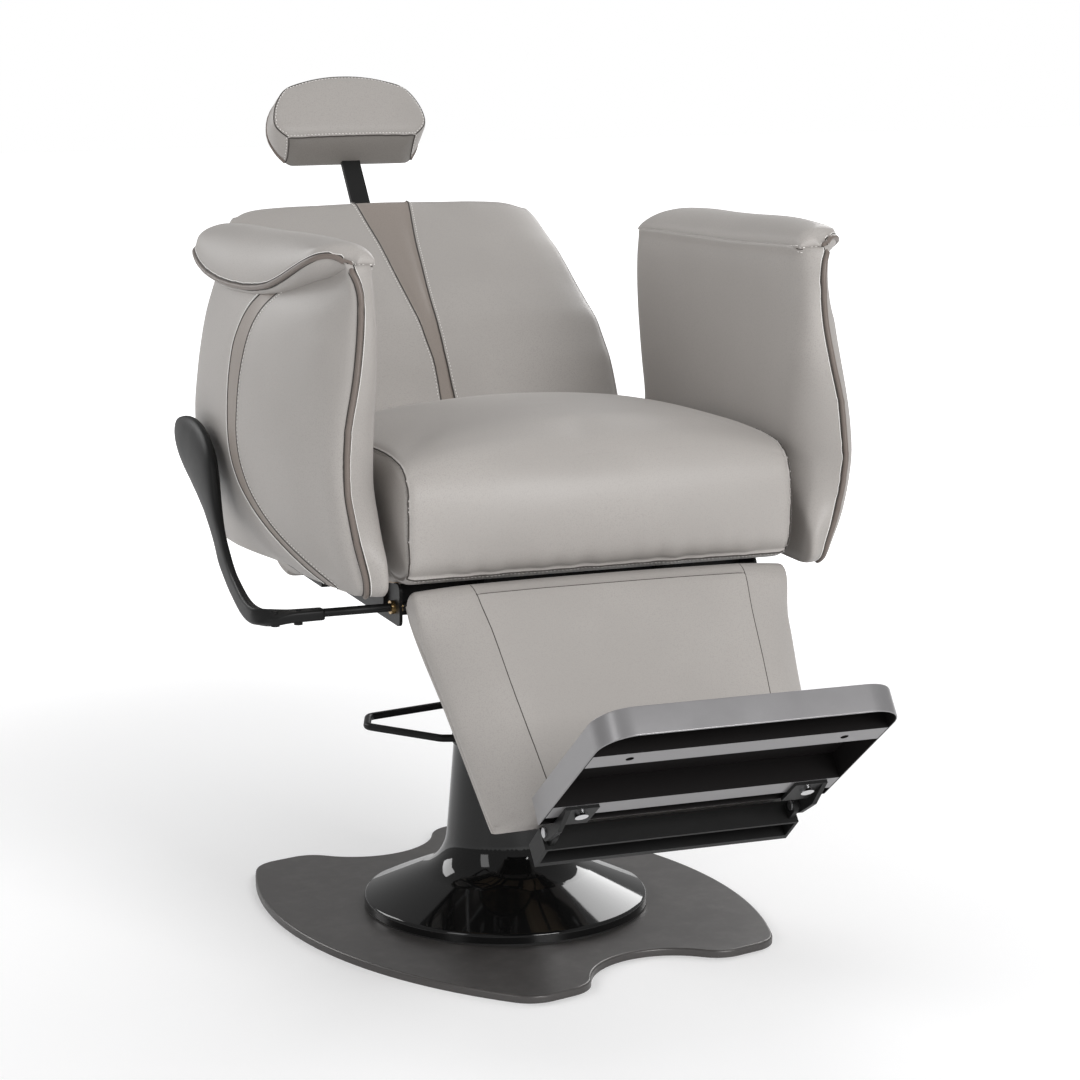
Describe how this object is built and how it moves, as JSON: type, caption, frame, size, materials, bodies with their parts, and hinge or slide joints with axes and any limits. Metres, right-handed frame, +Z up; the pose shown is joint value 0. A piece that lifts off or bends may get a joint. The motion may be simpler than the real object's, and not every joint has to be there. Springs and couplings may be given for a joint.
{
  "type": "hydraulic barber chair",
  "caption": "Reclining barber chair on a hydraulic lift with a swivel seat, padded arms, sliding headrest, leg rest and folding footrest on a lobed base plate",
  "frame": {"origin": "on the floor, on the pump's axis", "axes": "+Z up along the lift; the chair faces -Y; the sitter's right is -X"},
  "size_m": [0.8118, 1.5373, 1.0909],
  "materials": {
    "upholstery": "satin",
    "gloss_cover": "gloss",
    "base_paint": "satin",
    "footrest_paint": "satin",
    "black_steel": "satin",
    "chrome_parts": "polished",
    "bright_steel": "satin",
    "plywood": "matte",
    "seal_rubber": "matte",
    "black_plastic": "matte",
    "bronze": "satin"
  },
  "bodies": {
    "base": {"base_plate": "base_paint", "base_bolts": "bright_steel", "pump_reservoir": "bright_steel", "pump_cylinder": "bright_steel", "pump_head": "black_steel", "piston_seal": "seal_rubber", "pump_cover": "gloss_cover", "cover_gasket": "seal_rubber", "pedal_pins": "bright_steel"},
    "pedal": {"foot_pedal": "black_steel"},
    "lift_post": {"lift_piston": "chrome_parts", "swivel_bearing": "bright_steel"},
    "seat": {"swivel_hub": "black_steel", "swivel_plate": "black_steel", "hub_bolts": "bright_steel", "cross_members": "black_steel", "seat_rails": "black_steel", "seat_channels": "black_steel", "seat_board": "plywood", "seat_screws": "bright_steel", "seat_cushion": "upholstery", "arm_body_left": "upholstery", "arm_body_right": "upholstery", "arm_wing_left": "upholstery", "arm_wing_right": "upholstery", "arm_brackets": "black_steel", "arm_bolts": "bright_steel", "recline_ears": "black_steel", "pivot_pins": "bright_steel", "leg_rest_lugs": "black_steel", "lever_bushes": "bronze", "control_brackets": "black_steel", "recline_cylinder": "black_steel"},
    "backrest": {"back_cushion": "upholstery", "back_board": "plywood", "back_cover": "black_plastic", "back_hinge_arms": "black_steel", "crank_pins": "bright_steel", "headrest_guide": "black_steel"},
    "headrest_slider": {"headrest_bar": "black_steel", "headrest_pin": "bright_steel"},
    "headrest": {"headrest_pad": "upholstery", "headrest_plate": "black_steel"},
    "leg_rest": {"leg_rest_board": "plywood", "leg_rest_pad": "upholstery", "leg_hinge_arms": "black_steel", "link_pins": "bright_steel", "footrest_channel": "black_steel", "footrest_pins": "bright_steel"},
    "footrest": {"footrest_pan": "footrest_paint", "footrest_bars": "footrest_paint", "footrest_hinge_plates": "black_steel", "footrest_bolts": "chrome_parts"},
    "lever": {"lever_rod": "black_steel", "lever_handle": "black_steel", "lever_bolts": "chrome_parts", "release_cam": "bright_steel"},
    "spring_rod": {"recline_rod": "chrome_parts"},
    "link_bars": {"sync_link": "black_steel"}
  },
  "joints": [
    {"name": "lift", "type": "slide", "parent": "base", "child": "lift_post", "axis": [0, 0, 1], "range_m": [-0.09, 0.07]},
    {"name": "swivel", "type": "hinge", "parent": "lift_post", "child": "seat", "pos_m": [0, 0, 0.425], "axis": [0, 0, 1], "continuous": true},
    {"name": "recline", "type": "hinge", "parent": "seat", "child": "backrest", "pos_m": [0, 0.175, 0.505], "axis": [-1, 0, 0], "range_deg": [-34, 30]},
    {"name": "leg_rest_hinge", "type": "hinge", "parent": "seat", "child": "leg_rest", "pos_m": [0, -0.359, 0.419], "axis": [-1, 0, 0], "range_deg": [-34.5, 30.5]},
    {"name": "link_hinge", "type": "hinge", "parent": "leg_rest", "child": "link_bars", "pos_m": [0, -0.359, 0.374], "axis": [-1, 0, 0], "range_deg": [-30.5, 34.5]},
    {"name": "spring_slide", "type": "slide", "parent": "seat", "child": "spring_rod", "axis": [0, -1, 0], "range_m": [-0.026, 0.023]},
    {"name": "headrest_height", "type": "slide", "parent": "backrest", "child": "headrest_slider", "axis": [0, 0.6428, 0.766], "range_m": [-0.11, 0.04]},
    {"name": "headrest_tilt", "type": "hinge", "parent": "headrest_slider", "child": "headrest", "pos_m": [0, 0.68225, 0.98662], "axis": [-1, 0, 0], "range_deg": [-20, 20]},
    {"name": "footrest_tip", "type": "hinge", "parent": "leg_rest", "child": "footrest", "pos_m": [0, -0.57398, 0.28421], "axis": [-1, 0, 0], "range_deg": [0, 14]},
    {"name": "recline_lever", "type": "hinge", "parent": "seat", "child": "lever", "pos_m": [-0.2, -0.256, 0.491], "axis": [1, 0, 0], "range_deg": [0, 20], "stiffness_Nm_per_rad": 30, "springref_deg": -20.05},
    {"name": "pedal_hinge", "type": "hinge", "parent": "base", "child": "pedal", "pos_m": [0, 0, 0.262], "axis": [-0.3404, -0.9403, 0], "range_deg": [0, 15], "stiffness_Nm_per_rad": 6, "springref_deg": -11.46}
  ],
  "couplings": [
    {"joint": "leg_rest_hinge", "follows": "recline", "ratio": 1},
    {"joint": "link_hinge", "follows": "recline", "ratio": -1},
    {"joint": "spring_slide", "follows": "recline", "m_per_rad": 0.043}
  ]
}
